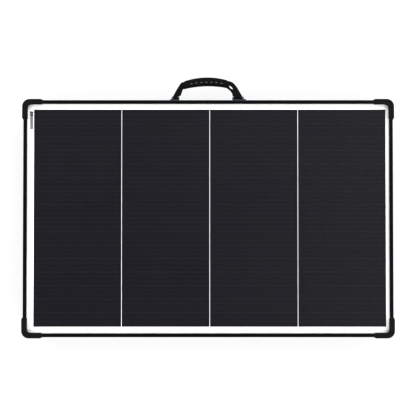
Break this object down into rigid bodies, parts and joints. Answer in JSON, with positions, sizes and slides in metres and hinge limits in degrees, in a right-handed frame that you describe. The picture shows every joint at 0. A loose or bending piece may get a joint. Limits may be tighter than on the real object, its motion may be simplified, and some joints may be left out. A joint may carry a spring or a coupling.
{
  "type": "folding solar panel",
  "caption": "Folding suitcase solar panel, closed: two framed shingled-cell leaves hinged back to back, with corner guards, a carrying handle, hook latches and swing-out stands.",
  "frame": {"origin": "centre of the overall box in X and Y, at the bottom: the faces of the rear leaf's corner guards that it lies on", "axes": "+X along the long side, +Y from the hinges to the carrying handle, +Z out of the front leaf's glass"},
  "size_m": [0.71, 0.5019, 0.0746],
  "materials": {
    "frame": "black anodised, satin",
    "corner_plastic": "fine moulded grain",
    "glass": "smooth, lightly textured solar glass",
    "solar_cells": "dark blue-grey silicon strips under glass",
    "backsheet": "white laminate",
    "junction_plastic": "moulded",
    "steel": "zinc plated",
    "dark_steel": "dark grey coating",
    "webbing": "woven polyester webbing",
    "grip_rubber": "matt, ribbed underneath",
    "label": "grey print"
  },
  "bodies": {
    "rear_panel": {"hinge_pin_left": "steel", "hinge_pin_right": "steel", "latch_stud_left": "steel", "latch_stud_right": "steel", "rear_backsheet": "backsheet", "rear_cell_matrix": "solar_cells", "rear_cross_rail": "frame", "rear_glass": "glass", "rear_guard_handle_side_left": "corner_plastic", "rear_guard_handle_side_right": "corner_plastic", "rear_guard_hinge_side_left": "corner_plastic", "rear_guard_hinge_side_right": "corner_plastic", "rear_hinge_leaf_left": "dark_steel", "rear_hinge_leaf_right": "dark_steel", "rear_junction_box": "junction_plastic", "rear_junction_lid": "junction_plastic", "rear_rail_handle_side": "frame", "rear_rail_hinge_side": "frame", "rear_rail_left": "frame", "rear_rail_right": "frame", "rear_stand_axle": "steel"},
    "front_panel": {"front_backsheet": "backsheet", "front_cell_matrix": "solar_cells", "front_cross_rail": "frame", "front_glass": "glass", "front_guard_handle_side_left": "corner_plastic", "front_guard_handle_side_right": "corner_plastic", "front_guard_hinge_side_left": "corner_plastic", "front_guard_hinge_side_right": "corner_plastic", "front_hinge_leaf_left": "dark_steel", "front_hinge_leaf_right": "dark_steel", "front_junction_box": "junction_plastic", "front_junction_lid": "junction_plastic", "front_rail_handle_side": "frame", "front_rail_hinge_side": "frame", "front_rail_left": "frame", "front_rail_right": "frame", "front_stand_axle": "steel", "handle_bracket_left": "dark_steel", "handle_bracket_right": "dark_steel", "handle_pin_left": "steel", "handle_pin_right": "steel", "latch_pivot_left": "steel", "latch_pivot_right": "steel", "serial_label": "label"},
    "rear_stand": {"rear_stand_arm_handle_side": "frame", "rear_stand_arm_hinge_side": "frame", "rear_stand_crossbar": "frame"},
    "front_stand": {"front_stand_arm_handle_side": "frame", "front_stand_arm_hinge_side": "frame", "front_stand_crossbar": "frame"},
    "handle": {"handle_strap": "webbing", "handle_grip": "grip_rubber"},
    "latch_left": {"latch_hook_left": "dark_steel"},
    "latch_right": {"latch_hook_right": "dark_steel"}
  },
  "joints": [
    {"name": "fold", "type": "hinge", "parent": "rear_panel", "child": "front_panel", "pos_m": [0, -0.24865, 0.0373], "axis": [1, 0, 0], "range_deg": [0, 180]},
    {"name": "rear_stand_swing", "type": "hinge", "parent": "rear_panel", "child": "rear_stand", "pos_m": [0.166, -0.02005, 0.0253], "axis": [0, 1, 0], "range_deg": [0, 60]},
    {"name": "front_stand_swing", "type": "hinge", "parent": "front_panel", "child": "front_stand", "pos_m": [0.19, -0.02005, 0.0493], "axis": [0, -1, 0], "range_deg": [0, 60]},
    {"name": "handle_swing", "type": "hinge", "parent": "front_panel", "child": "handle", "pos_m": [0, 0.21155, 0.0613], "axis": [1, 0, 0], "range_deg": [-65, 65]},
    {"name": "latch_left_turn", "type": "hinge", "parent": "front_panel", "child": "latch_left", "pos_m": [-0.262, 0.20755, 0.0473], "axis": [0, 1, 0], "range_deg": [0, 90]},
    {"name": "latch_right_turn", "type": "hinge", "parent": "front_panel", "child": "latch_right", "pos_m": [0.262, 0.20755, 0.0473], "axis": [0, -1, 0], "range_deg": [0, 90]}
  ],
  "couplings": [
    {"joint": "rear_stand_swing", "follows": "fold", "ratio": 0.33333},
    {"joint": "front_stand_swing", "follows": "fold", "ratio": 0.33333}
  ]
}
